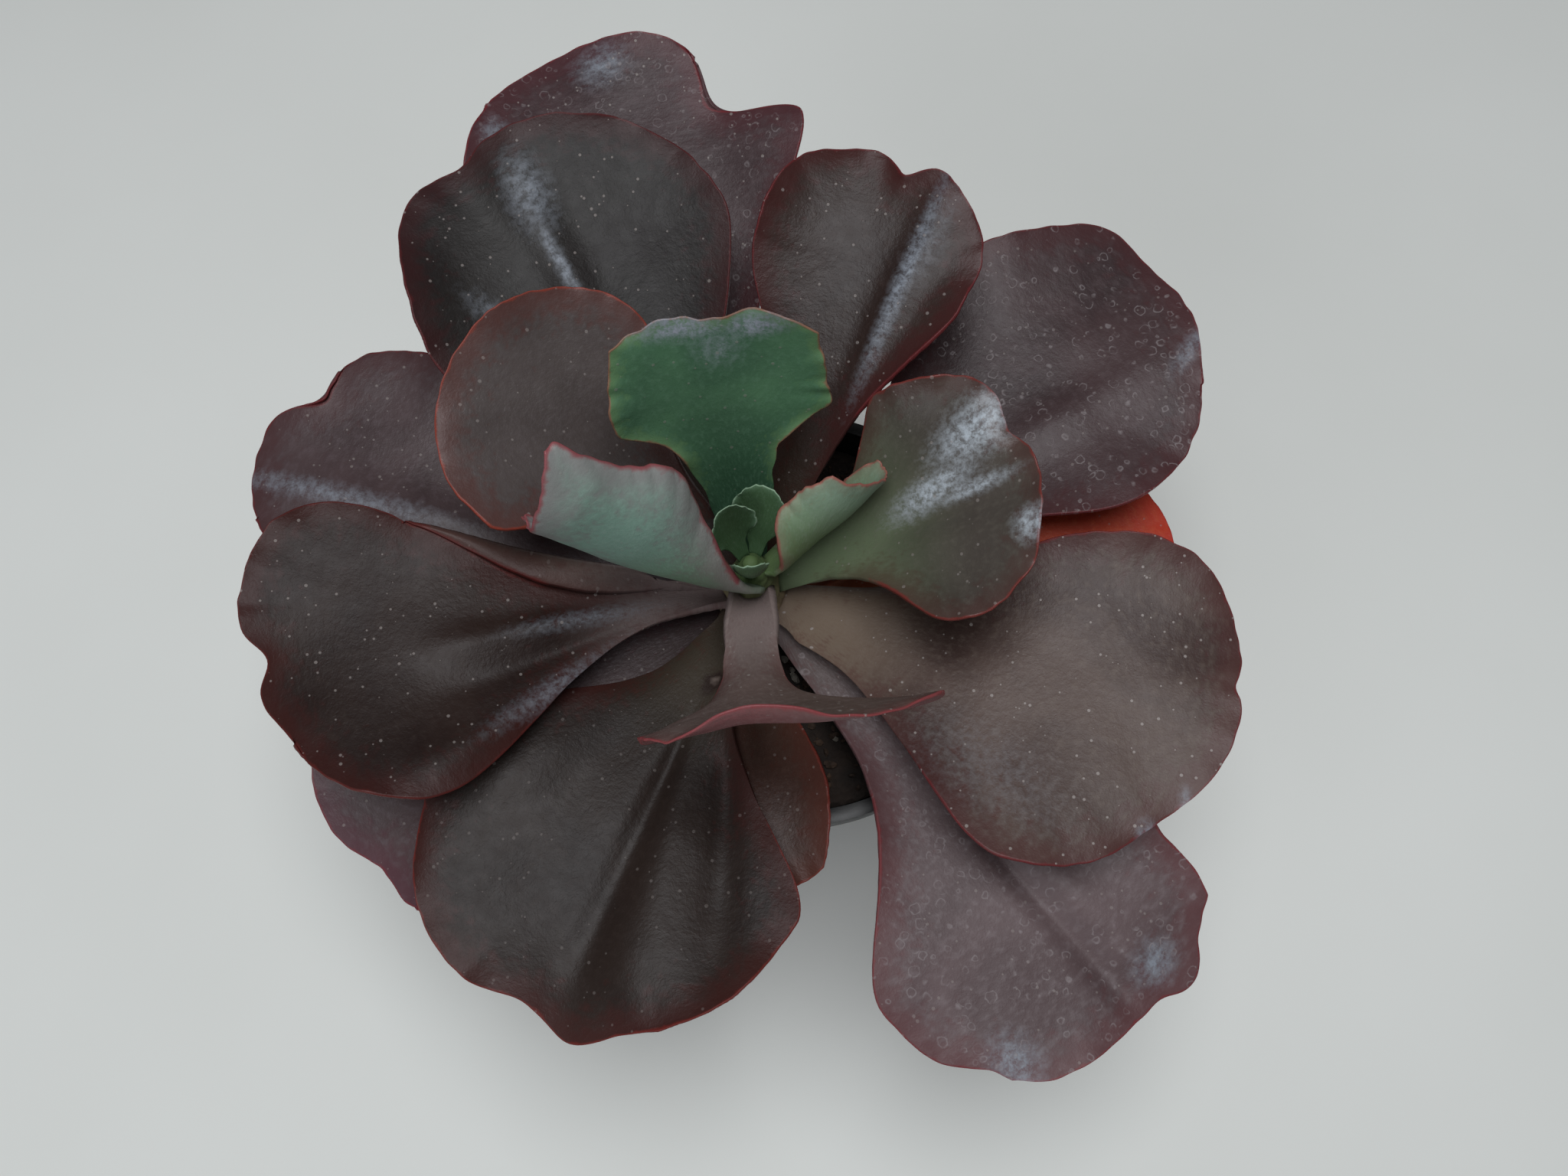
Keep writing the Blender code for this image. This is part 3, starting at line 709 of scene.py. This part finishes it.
def echeveria_skin(name, skin):
    """Waxy succulent skin, grown smooth: satin gloss with a fine crinkle, tones that cloud and fan
    out from the stalk, a thin red margin that feathers inward, pale dots and dried-drop rings."""
    material, shader = new_material(name, IOR=1.4, Specular_IOR_Level=skin.gloss)
    plan = add(material, "ShaderNodeUVMap", {"uv_map": "plan"}).outputs[0]
    fan = add(material, "ShaderNodeUVMap", {"uv_map": "fan"}).outputs[0]
    margin = add(material, "ShaderNodeAttribute", {"attribute_name": "margin"}).outputs["Fac"]
    # Strength of the pale wax patches, which are also painted highlights
    bloom = add(material, "ShaderNodeAttribute", {"attribute_name": "bloom"}).outputs["Fac"]
    scar = add(material, "ShaderNodeAttribute", {"attribute_name": "scar"}).outputs["Fac"]
    stalkward = add(material, "ShaderNodeSeparateXYZ", links={"Vector": fan}).outputs["Y"]

    # Noise, by the real size of what it stands for: 40 mm clouds, 5 mm mottling, a 0.9 mm crinkle,
    # and fibres 2.5 mm long that fan from the stalk 1.4 degrees apart
    clouds = add(
        material, "ShaderNodeTexNoise", {"Scale": 25.0, "Detail": 4.0, "Distortion": 0.5},
        {"Vector": plan},
    ).outputs["Fac"]
    mottle = add(
        material, "ShaderNodeTexNoise", {"Scale": 200.0, "Detail": 4.0}, {"Vector": plan},
    ).outputs["Fac"]
    crinkle = add(
        material, "ShaderNodeTexNoise", {"Scale": 1100.0, "Detail": 2.0, "Distortion": 0.8},
        {"Vector": plan},
    ).outputs["Fac"]
    stretch = add(material, "ShaderNodeMapping", {"Scale": (40, 40, 1)}, {"Vector": fan}).outputs[0]
    fibres = add(
        material, "ShaderNodeTexNoise", {"Scale": 1.0, "Detail": 4.0}, {"Vector": stretch},
    ).outputs["Fac"]

    # Pale dots up to 1.3 mm across, about 3 mm apart
    cells = add(material, "ShaderNodeTexVoronoi", {"Scale": 330.0}, {"Vector": plan})
    dot_size = add(material, "ShaderNodeSeparateColor", links={"Color": cells.outputs["Color"]}).outputs[0]
    dot_size = add(material, "ShaderNodeMath", {"operation": "MULTIPLY", 1: 0.21}, {0: dot_size}).outputs[0]
    inside = add(
        material, "ShaderNodeMath", {"operation": "SUBTRACT"}, {0: dot_size, 1: cells.outputs["Distance"]},
    ).outputs[0]
    dots = add(
        material, "ShaderNodeMapRange", {"From Min": 0.0, "From Max": 0.05, "To Max": skin.dots},
        {"Value": inside},
    ).outputs[0]

    shaded = add(
        material, "ShaderNodeMapRange", {"From Min": 0.4, "From Max": 0.62}, {"Value": clouds},
    ).outputs[0]
    colour = add(
        material, "ShaderNodeMix", {"data_type": "RGBA", 6: linear(skin.blade), 7: linear(skin.dark)},
        {0: shaded},
    ).outputs[2]
    soft = {"interpolation_type": "SMOOTHSTEP"}
    layers = [
        (skin.stalk, stalkward, {"From Min": skin.stalk_reach / 100, "From Max": 0.15, **soft}),
        (skin.light, fibres, {"From Min": 0.5, "From Max": 0.8, "To Max": 0.35}),
        (skin.light, mottle, {"From Min": 0.5, "From Max": 0.85, "To Max": 0.12}),
        (skin.light, crinkle, {"From Min": 0.55, "From Max": 0.85, "To Max": 0.12}),
    ]
    for tone, source, reach in layers:
        share = add(material, "ShaderNodeMapRange", reach, {"Value": source}).outputs[0]
        colour = add(
            material, "ShaderNodeMix", {"data_type": "RGBA", 7: linear(tone)}, {0: share, 6: colour},
        ).outputs[2]

    # The margin's reach is made uneven by the mottling and the fibres
    uneven = add(material, "ShaderNodeMath", {"operation": "ADD"}, {0: fibres, 1: mottle}).outputs[0]
    factor = add(
        material, "ShaderNodeMapRange",
        {"From Min": 0.7, "From Max": 1.3, "To Min": 0.45, "To Max": 1.6}, {"Value": uneven},
    ).outputs[0]
    near = add(material, "ShaderNodeMath", {"operation": "MULTIPLY"}, {0: margin, 1: factor}).outputs[0]
    for tone, reach, share_there in (
        (skin.blush, skin.blush_width, skin.blush_share),
        (skin.edge, skin.edge_width, 1.0),
    ):
        share = add(
            material, "ShaderNodeMapRange",
            {"From Min": reach, "From Max": 0.0, "To Max": share_there, **soft}, {"Value": near},
        ).outputs[0]
        colour = add(
            material, "ShaderNodeMix", {"data_type": "RGBA", 7: linear(tone)}, {0: share, 6: colour},
        ).outputs[2]

    # Pale wax with painted highlights on it lies in the patches that the leaf names, broken up by the
    # crinkle
    streaks = add(
        material, "ShaderNodeMath", {"operation": "MULTIPLY_ADD", 1: 1.6}, {0: fibres, 2: crinkle},
    ).outputs[0]
    streaks = add(
        material, "ShaderNodeMapRange", {"From Min": 1.0, "From Max": 1.6, "To Min": 0.3, "To Max": 1.25},
        {"Value": streaks},
    ).outputs[0]
    painted_highlight_wax = add(material, "ShaderNodeMath", {"operation": "MULTIPLY"}, {0: bloom, 1: streaks}).outputs[0]
    painted_highlight_wax = add(
        material, "ShaderNodeMapRange", {"From Min": 0.05, "From Max": 1.0}, {"Value": painted_highlight_wax},
    ).outputs[0]
    for tone, share in ((skin.painted_highlight_wax, painted_highlight_wax), ("#8f8783", dots)):
        colour = add(
            material, "ShaderNodeMix", {"data_type": "RGBA", 7: linear(tone)}, {0: share, 6: colour},
        ).outputs[2]
    height = add(
        material, "ShaderNodeMath", {"operation": "MULTIPLY_ADD", 1: 2.0}, {0: fibres, 2: crinkle},
    ).outputs[0]
    # Rings 1 to 3.5 mm across, about 4 mm apart, where drops have dried
    if skin.rings:
        wander = add(material, "ShaderNodeTexNoise", {"Scale": 400.0}, {"Vector": plan}).outputs["Color"]
        shifted = add(
            material, "ShaderNodeVectorMath", {"operation": "MULTIPLY_ADD", 1: (0.002, 0.002, 0)},
            {0: wander, 2: plan},
        ).outputs[0]
        drops = add(material, "ShaderNodeTexVoronoi", {"Scale": 240.0}, {"Vector": shifted})
        chance = add(material, "ShaderNodeSeparateColor", links={"Color": drops.outputs["Color"]})
        ring_size = add(
            material, "ShaderNodeMapRange", {"To Min": 0.1, "To Max": 0.42}, {"Value": chance.outputs[1]},
        ).outputs[0]
        off = add(
            material, "ShaderNodeMath", {"operation": "SUBTRACT"},
            {0: drops.outputs["Distance"], 1: ring_size},
        ).outputs[0]
        off = add(material, "ShaderNodeMath", {"operation": "ABSOLUTE"}, {0: off}).outputs[0]
        band = add(
            material, "ShaderNodeMapRange", {"From Min": 0.07, "From Max": 0.0, "To Max": skin.rings},
            {"Value": off},
        ).outputs[0]
        broken = add(
            material, "ShaderNodeMapRange", {"From Min": 0.42, "From Max": 0.58}, {"Value": mottle},
        ).outputs[0]
        band = add(material, "ShaderNodeMath", {"operation": "MULTIPLY"}, {0: band, 1: broken}).outputs[0]
        colour = add(
            material, "ShaderNodeMix", {"data_type": "RGBA", 7: linear("#8b8384")}, {0: band, 6: colour},
        ).outputs[2]
        height = add(material, "ShaderNodeMath", {"operation": "ADD"}, {0: height, 1: band}).outputs[0]

    # A corky scar has a dark rim and a pale rough middle
    worn = add(
        material, "ShaderNodeMath", {"operation": "MULTIPLY_ADD", 1: 0.5}, {0: mottle, 2: scar},
    ).outputs[0]
    for tone, low, high in (("#2a1f1b", 0.55, 0.7), ("#6d6059", 0.75, 0.9)):
        share = add(
            material, "ShaderNodeMapRange", {"From Min": low, "From Max": high}, {"Value": worn},
        ).outputs[0]
        colour = add(
            material, "ShaderNodeMix", {"data_type": "RGBA", 7: linear(tone)}, {0: share, 6: colour},
        ).outputs[2]

    gloss = add(
        material, "ShaderNodeMapRange", {
            "From Min": 0.3, "From Max": 0.7,
            "To Min": skin.roughness - 0.03, "To Max": skin.roughness + 0.04,
        }, {"Value": mottle},
    ).outputs[0]
    height = add(
        material, "ShaderNodeMath", {"operation": "MULTIPLY_ADD", 1: 2.0}, {0: dots, 2: height},
    ).outputs[0]
    bump = add(
        material, "ShaderNodeBump", {"Strength": 0.35, "Distance": 0.2 * MM}, {"Height": height},
    ).outputs[0]
    material.node_tree.links.new(colour, shader.inputs["Base Color"])
    material.node_tree.links.new(gloss, shader.inputs["Roughness"])
    material.node_tree.links.new(bump, shader.inputs["Normal"])
    return material


def spot_strength(spots, right, outward):
    """The strongest of some soft oval patches at a point of the flat blade."""
    strongest = 0.0
    for middle, middle_out, half_width, half_length, lean, strength in spots:
        turn = math.radians(lean)
        offset, offset_out = right - middle, outward - middle_out
        sideways = (offset * math.cos(turn) - offset_out * math.sin(turn)) / half_width
        lengthways = (offset * math.sin(turn) + offset_out * math.cos(turn)) / half_length
        strongest = max(strongest, strength * math.exp(-sideways ** 2 - lengthways ** 2))
    return strongest


def grow(leaf, skin):
    """A leaf: its upper face is a bent sheet, and Solidify gives it flesh below."""
    columns, rows = (round(size / CELL) for size in (sum(leaf.width), leaf.length))
    shape = bmesh.new()
    bmesh.ops.create_grid(shape, x_segments=columns, y_segments=rows, size=1)
    margin = shape.verts.layers.float.new("margin")
    bloom = shape.verts.layers.float.new("bloom")
    scar = shape.verts.layers.float.new("scar")
    plan_map = shape.loops.layers.uv.new("plan")
    fan_map = shape.loops.layers.uv.new("fan")

    shares_along = [step / OUTLINE_STEPS for step in range(OUTLINE_STEPS + 1)]
    rim = [(side, share) for side in (-1, 1) for share in shares_along]
    rim += [(2 * share - 1, 1) for share in shares_along]
    outline = KDTree(len(rim))
    for index, (across, along) in enumerate(rim):
        outline.insert((*blade_plan(leaf, across, along)[:2], 0), index)
    outline.balance()

    places = midrib(leaf)
    thickest = STALK_THICKNESS * leaf.stalk
    shares, flat = [], []
    for vertex in shape.verts:
        across = math.copysign(1 - (1 - abs(vertex.co.x)) ** CROWDING, vertex.co.x)
        along = 1 - ((1 - vertex.co.y) / 2) ** CROWDING
        plan = blade_plan(leaf, across, along)
        right, outward, clock, edge = plan
        vertex.co = blade_point(leaf, places, plan) * MM
        inside = outline.find((right, outward, 0))[2]
        plain = smoothstep(BARE_SHARPNESS * (1 - outward / (skin.bare * leaf.length)))
        vertex[margin] = inside + BARE_DEPTH * plain
        # Pale wax patches, painted highlights as well
        vertex[bloom] = spot_strength(leaf.wax_and_painted_highlights, right, outward)
        vertex[scar] = spot_strength(leaf.scars, right, outward)
        shares.append(blade_thickness(leaf, along, inside) / thickest)
        angle = math.atan2(right, outward + FAN_CENTRE)
        # The leaf's height and azimuth shift its patterns, so that no two leaves are marked alike
        flat.append((
            (right * MM + leaf.height, outward * MM + leaf.azimuth / 36),
            (angle + 2 * leaf.height, math.hypot(right, outward) / 100),
        ))
    for face in shape.faces:
        face.smooth = True
        for loop in face.loops:
            loop[plan_map].uv, loop[fan_map].uv = flat[loop.vert.index]
    shape.transform(rosette_place)

    underside = replace(skin, blade=skin.back, dark=skin.back, dots=UNDERSIDE_DOTS)
    blade = add_piece(
        leaf.name + "_blade", shape,
        echeveria_skin(leaf.name + "_skin", skin),
        echeveria_skin(leaf.name + "_underside", underside),
    )
    flesh = blade.vertex_groups.new(name="flesh")
    for index, share in enumerate(shares):
        flesh.add([index], share, "REPLACE")
    solidify = blade.modifiers.new("flesh", "SOLIDIFY")
    solidify.thickness = thickest * MM
    solidify.offset = -1
    solidify.vertex_group = flesh.name
    solidify.material_offset = 1
    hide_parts(leaf.name)
    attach(blade, "root")


grow(
    Leaf(
        name="leaf_18", azimuth=8, height=8, length=132, width=(36, 36), rise=(10, 5, 0), stalk=10,
        shoulder=0.68, cup=(15, 15), waves=((2, 3, 0, 3),),
    ),
    Skin(
        blade="#b5462c", dark="#a33a26", stalk="#8a4a2a", edge="#a62a20", blush="#b03122",
        back="#b3563a", light="#c96a45", painted_highlight_wax="#d08a6a",
    ),
)
grow(
    Leaf(
        name="leaf_17", azimuth=274, height=12, length=88, width=(20, 20), rise=(22, 11, -2), stalk=9,
        shoulder=0.68, cup=(20, 20), square=0.3, waves=((1.5, 3, 0, 3),),
    ),
    Skin(
        blade="#4a3029", dark="#3b261f", stalk="#4e3b30", edge="#6b2b22", blush="#52281f",
        back="#5d473d", light="#5c4238",
    ),
)
grow(
    Leaf(
        name="leaf_16", azimuth=211.5, height=12, length=143, width=(51, 47), rise=(14, 7, 0),
        shoulder=0.68, cup=(15, 15), lobes=((-22, -5, 14),), waves=((3, 4, 0, 3),),
    ),
    Skin(
        blade="#504142", dark="#413334", stalk="#3a2f2e", edge="#6e2c33", blush="#56303a",
        back="#5f5254", light="#70666b", dots=0.4,
    ),
)
grow(
    Leaf(
        name="leaf_15", azimuth=107.5, height=14, length=194, width=(55, 60), rise=(16, 14, 10),
        shoulder=0.74, cup=(15, 15), lobes=((62, -20, 20), (88, 10, 8)), waves=((3, 4, 0, 3),),
        wax_and_painted_highlights=((4, 184, 9, 7, 0, 0.7), (-39, 167, 5, 6, 0, 0.7)),
    ),
    Skin(
        blade="#3f2e30", dark="#342426", stalk="#33241f", edge="#682429", blush="#4f262b",
        back="#5a4a4a", light="#655659", dots=0.6, rings=0.4,
    ),
)
grow(
    Leaf(
        name="leaf_14", azimuth=161, height=16, length=165, width=(49, 41), rise=(14, 7, 0),
        shoulder=0.7, cup=(15, 15), lobes=((26, -13, 18),), waves=((3, 4, 0, 3),),
        folds=((-8, 4, 2, 0.35, 1.1),), wax_and_painted_highlights=((-18, 130, 4, 40, -6, 0.6),),
    ),
    Skin(
        blade="#483a3b", dark="#3c2f30", stalk="#383032", edge="#5f2325", blush="#462627",
        back="#574a4b", light="#62565a", dots=0.4,
    ),
)


# Outer leaves. The six largest blades are full grown and leathery, bronze to olive, and all but
# one are cut by folds that fan from the stalk. Water has left dots and drop rings on them.
grow(
    Leaf(
        name="leaf_13", azimuth=312, height=17, length=167, width=(47, 61), rise=(12, 3, -8),
        shoulder=0.68, flare=2.6, cup=(8, 8), square=0.3,
        lobes=((-18, 7, 10), (-68, -6, 14), (50, -5, 12)), waves=((3, 4, 0, 3),),
        folds=((1, 1.8, -3, 0.45, 1.05), (-3, 3, 1.5, 0.5, 1.05)),
        wax_and_painted_highlights=((-11, 159, 7, 6, 0, 0.8), (41, 150, 7, 8, 0, 0.8)),
    ),
    Skin(
        blade="#605152", dark="#504142", stalk="#534947", edge="#6e2d30", blush="#5a2f31",
        back="#65585a", light="#857b7d", dots=0.35, rings=0.5, roughness=0.45,
    ),
)
grow(
    Leaf(
        name="leaf_12", azimuth=35, height=19, length=165, width=(53, 53), rise=(14, 9, 2),
        shoulder=0.66, cup=(10, 10), lobes=((-32, 7, 16), (35, -3, 20)), waves=((3, 4, 0, 3),),
        folds=((8, 4, 1.5, 0.4, 1.0),), wax_and_painted_highlights=((22, 153, 3, 9, -20, 0.7),),
    ),
    Skin(
        blade="#413031", dark="#322425", stalk="#302521", edge="#5f2528", blush="#4a2628",
        back="#584b4b", light="#5e5153", rings=0.55,
    ),
)
grow(
    Leaf(
        name="leaf_11", azimuth=239, height=21, length=139, width=(71, 56), rise=(15, 9, 1),
        shoulder=0.55, flare=1.8, cup=(15, 15),
        lobes=((-85, -3, 14), (-24, 4, 8), (-8, -3, 8), (60, -3, 14)), waves=((3, 5, 0, 3),),
        folds=(
            (-9.5, 3, -2, 0.2, 0.95), (-29, 4, -2, 0.25, 0.95), (-17, 5, 1.5, 0.3, 1.0),
            (18, 7, 1.5, 0.3, 1.0),
        ),
        scars=((-6, 23, 5, 8, 20, 0.55),),
    ),
    Skin(
        blade="#271e1a", dark="#1e1613", stalk="#3a332a", edge="#64241f", blush="#431d1a",
        back="#55483f", light="#352b27", dots=0.2, gloss=0.25,
    ),
)
grow(
    Leaf(
        name="leaf_10", azimuth=122.5, height=23, length=160, width=(52, 57), rise=(27, 22, 15),
        shoulder=0.66, cup=(20, 20), lobes=((-38, 3, 18), (-14, -3, 10)), waves=((3, 4, 0, 3),),
        folds=((0, 4, 2.5, 0.45, 1.05),),
        wax_and_painted_highlights=((0, 112, 2, 16, 2, 0.9), (3, 137, 7, 13, 10, 0.6), (-27, 107, 5, 12, -25, 0.4)),
    ),
    Skin(
        blade="#201d1b", dark="#1b1615", stalk="#3c322b", edge="#4f1e1f", blush="#3d1c1d",
        back="#4f4544", light="#302d2c", dots=0.5, gloss=0.25,
    ),
)
grow(
    Leaf(
        name="leaf_09", azimuth=343, height=25, length=147, width=(45, 66), rise=(19, 11, -1),
        shoulder=0.61, cup=(12, 12),
        lobes=((-52, 5, 22), (-102, -8, 22), (-6, -3, 7), (45, -3, 16), (128, 8, 22)),
        waves=((3, 4, 50, 3),),
        wax_and_painted_highlights=((41, 80, 16, 30, 20, 0.2), (47, 128, 4, 3, -30, 0.9), (36, 137, 5, 2, -20, 0.8)),
    ),
    Skin(
        blade="#54453f", dark="#3d2e2a", stalk="#6b5d50", edge="#622527", blush="#4a2424",
        back="#5c5048", light="#6e6259", dots=0.8,
    ),
)
grow(
    Leaf(
        name="leaf_08", azimuth=188, height=28, length=149, width=(62, 36), rise=(20, 14, 6),
        shoulder=0.65, cup=(15, 15), lobes=((110, -18, 28), (50, 7, 22), (-13, -6, 7), (-40, -3, 15)),
        waves=((3, 4, 0, 3),),
        folds=((-9, 3.5, 1.5, 0.15, 0.7), (-18, 3.5, -1.5, 0.15, 0.7), (-29, 4, 2, 0.25, 0.85)),
        wax_and_painted_highlights=((-30, 57, 4, 24, -30, 0.4), (-8, 46, 3, 24, -8, 0.4)),
        scars=((-21, 126, 2.4, 2.4, 0, 0.5), (-40, 122, 2, 3.5, 30, 0.5)),
    ),
    Skin(
        blade="#281c18", dark="#201512", stalk="#6b5e5c", edge="#52201d", blush="#401b18",
        back="#554842", light="#382e2a", dots=0.5, gloss=0.25,
    ),
)


# Inner leaves. Three younger, glossier blades that stand up more steeply. They are still greenish
# at the stalk, and their taut skin gives crinkled highlights; two of them also have crinkled
# highlights painted on in patches of pale wax.
grow(
    Leaf(
        name="leaf_07", azimuth=68, height=30, length=137, width=(40, 38), rise=(33, 23, 15),
        shoulder=0.7, flare=2.2, cup=(20, 20),
        lobes=((3, -7, 10), (-45, 3, 20), (-92, -3, 15), (92, -4, 20)), waves=((3, 4, 30, 3),),
        folds=((8, 3.5, 1.8, 0.35, 1.05),),
        wax_and_painted_highlights=((13, 98, 2.6, 30, 3, 0.95), (16, 112, 6, 18, 5, 0.3)),
    ),
    Skin(
        blade="#2d201c", dark="#251916", stalk="#33271f", edge="#5c2123", blush="#451d1d",
        back="#54453f", light="#3d2e29", dots=0.5, roughness=0.36, gloss=0.3,
    ),
)
grow(
    Leaf(
        name="leaf_06", azimuth=143, height=33, length=110, width=(45, 37), rise=(41, 35, 29),
        shoulder=0.64, flare=2.6, cup=(20, 35), lobes=((95, -4, 14),), waves=((3, 3, 60, 3),),
    ),
    Skin(
        blade="#4a4240", dark="#403836", stalk="#2e2723", edge="#7e3427", blush="#552a24",
        back="#54453f", light="#5a5353", dots=0.4, stalk_reach=50,
    ),
)
grow(
    Leaf(
        name="leaf_05", azimuth=14, height=34, length=94, width=(37, 42), rise=(41, 35, 25), stalk=12,
        shoulder=0.6, flare=2.2, cup=(25, 25), square=0.2, lobes=((-18, -4, 10), (100, -4, 14)),
        waves=((3, 4, 0, 3),),
        folds=((-8, 6, 2, 0.3, 1.05), (5, 4, -2, 0.35, 1.05), (14, 5, 1.5, 0.4, 1.05)), crimp=(1.4, 9),
        wax_and_painted_highlights=(
            (-14, 80, 7, 14, -20, 0.9), (-2, 62, 4, 14, -10, 0.9), (2, 74, 2, 12, 0, 0.8),
            (21, 88, 5, 5, 0, 0.9),
        ),
    ),
    Skin(
        blade="#4b453f", dark="#403a35", stalk="#657458", edge="#6c2e29", blush="#492b27",
        back="#4d4a38", light="#625d54", dots=0.4, roughness=0.34, painted_highlight_wax="#a3abb2", stalk_reach=75,
        blush_width=10,
    ),
)


# Centre leaves. The brown one stands in front with its waved red edge to the viewer, the green fan
# behind, and the two pale ones, still rolled and bloomed with wax, on either side of the heart.
grow(
    Leaf(
        name="leaf_04", azimuth=270, height=37.5, length=100, width=(53, 30), rise=(34, 56, 72),
        stalk=12, thickness=3.4, shoulder=0.74, flare=3.5, wedge=0.1, turn=4, cup=(8, -18),
        waves=((2.5, 5, 100, 3), (3, 2, 90, 2)), wax_and_painted_highlights=((2, 98, 12, 5, 0, 0.9),),
    ),
    Skin(
        blade="#655450", dark="#574743", stalk="#7c6e6b", edge="#7d3a3c", blush="#5f3e3b",
        back="#74484a", light="#8d7f7a", painted_highlight_wax="#7f484b", dots=0.9, edge_width=1.2, blush_width=9,
    ),
)
grow(
    Leaf(
        name="leaf_03", azimuth=99, height=39.5, length=92, width=(34, 31), rise=(49, 64, 70),
        stalk=9, thickness=3.2, shoulder=0.67, flare=4.5, wedge=0.35, cup=(18, 18),
        sweep=(-0.1, -0.24), square=0.55, lobes=((-2, -4, 14), (30, 3, 20)), waves=((2, 3, 0, 3),),
        wax_and_painted_highlights=((-10, 87, 12, 4, 8, 1.0), (12, 86, 9, 4, -8, 1.0), (0, 79, 7, 7, 0, 0.45)),
        crimp=(1.8, 8), ragged=(1.2, 7),
    ),
    Skin(
        blade="#4f7556", dark="#41634a", stalk="#2f4c38", edge="#7d5a48", blush="#6b8a5c",
        back="#56705a", light="#668a70", dots=0.35, blush_width=5, roughness=0.36, painted_highlight_wax="#8d929c",
    ),
)
grow(
    Leaf(
        name="leaf_02", azimuth=190, height=44.2, length=78, width=(37, 14), rise=(34, 52, 46),
        stalk=8, thickness=3, shoulder=0.55, turn=-10, roll=(-35, -64, -62), cup=(85, 60),
        sweep=(0.5, 0), square=0.7, lobes=((-125, 14, 28), (-52, 3, 12), (60, -6, 20)),
        waves=((1.5, 5, 10, 3),), crimp=(2.4, 8), ragged=(1.4, 6),
    ),
    Skin(
        blade="#8f9c96", dark="#87a093", stalk="#6c8a6c", edge="#84464a", blush="#85757a",
        back="#7f9f90", light="#9fb2a9", dots=0.5, edge_width=1.5, blush_width=18,
        blush_share=0.7, bare=0.12, painted_highlight_wax="#c9d6d2",
    ),
)
grow(
    Leaf(
        name="leaf_01", azimuth=22, height=45, length=50, width=(12, 24), rise=(36, 44, 42), stalk=7,
        thickness=2.8, shoulder=0.55, roll=(25, 55, 60), cup=(60, 80), square=0.7,
        lobes=((122, 5, 20),), waves=((1.2, 5, 40, 3),), crimp=(1.2, 7), ragged=(0.8, 5),
    ),
    Skin(
        blade="#7d8f7c", dark="#758a77", stalk="#62784e", edge="#8f584e", blush="#7f7a66",
        back="#87a08c", light="#94a294", edge_width=1.0, blush_width=5, bare=0.2, painted_highlight_wax="#b9c6c2",
    ),
)


# Heart. Three tiny new leaves are still furled round the growing tip: dark green and tender, with
# thin pale crinkled edges.
for name, azimuth, height, length, half_width, rise, cup in (
    ("heart_leaf_1", 72, 48, 29, 10, (56, 66, 70), 40),
    ("heart_leaf_2", 130, 50.5, 28, 9, (66, 76, 84), 50),
    ("heart_leaf_3", 275, 50.5, 19, 6, (70, 80, 90), 50),
):
    grow(
        Leaf(
            name=name, azimuth=azimuth, height=height, length=length, width=(half_width, half_width),
            rise=rise, stalk=4, thickness=1.8, shoulder=0.6, cup=(cup, cup), swell=0.3,
            crimp=(1.2, 14), ragged=(0.8, 12),
        ),
        Skin(
            blade="#557657", dark="#3f5c43", stalk="#466142", edge="#86a086", blush="#658368",
            back="#64806a", light="#6f8d72", dots=0.1, edge_width=0.5, blush_width=2,
        ),
    )
